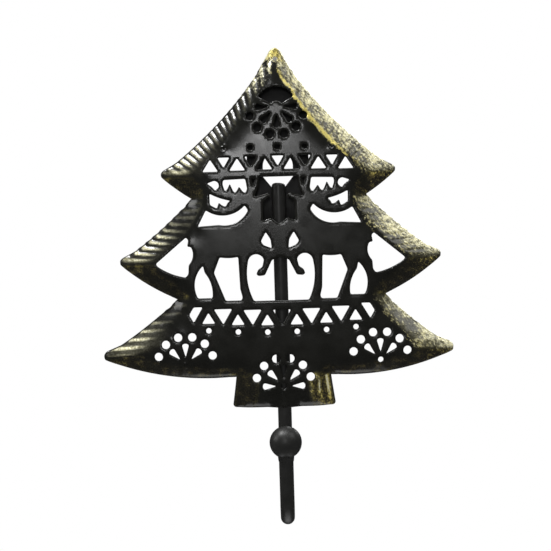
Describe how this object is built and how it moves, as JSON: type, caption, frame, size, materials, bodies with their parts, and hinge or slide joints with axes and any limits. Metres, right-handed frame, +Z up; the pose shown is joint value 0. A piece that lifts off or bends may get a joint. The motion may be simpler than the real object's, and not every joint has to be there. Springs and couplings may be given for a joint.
{
  "type": "decorative wall hook",
  "caption": "Tree-shaped wall hook in black and gold painted steel: a pierced sheet tree with deer and fluted rims on a round bar hook with a ball tip.",
  "frame": {"origin": "on the wall plane, in the middle of the round top of the hanging hole", "axes": "+Z up, -Y from the wall into the room, +X to the right as seen from the room; the wall is the plane Y = 0"},
  "size_m": [0.1462, 0.0397, 0.1956],
  "materials": {
    "gilded_paint": "satin black paint with gold brushed over the rims",
    "black_paint": "satin black paint"
  },
  "bodies": {
    "root": {"tree_plate": "gilded_paint", "hook_bar": "black_paint", "hook_ball": "black_paint", "hanging_plate": "black_paint"}
  },
  "joints": []
}
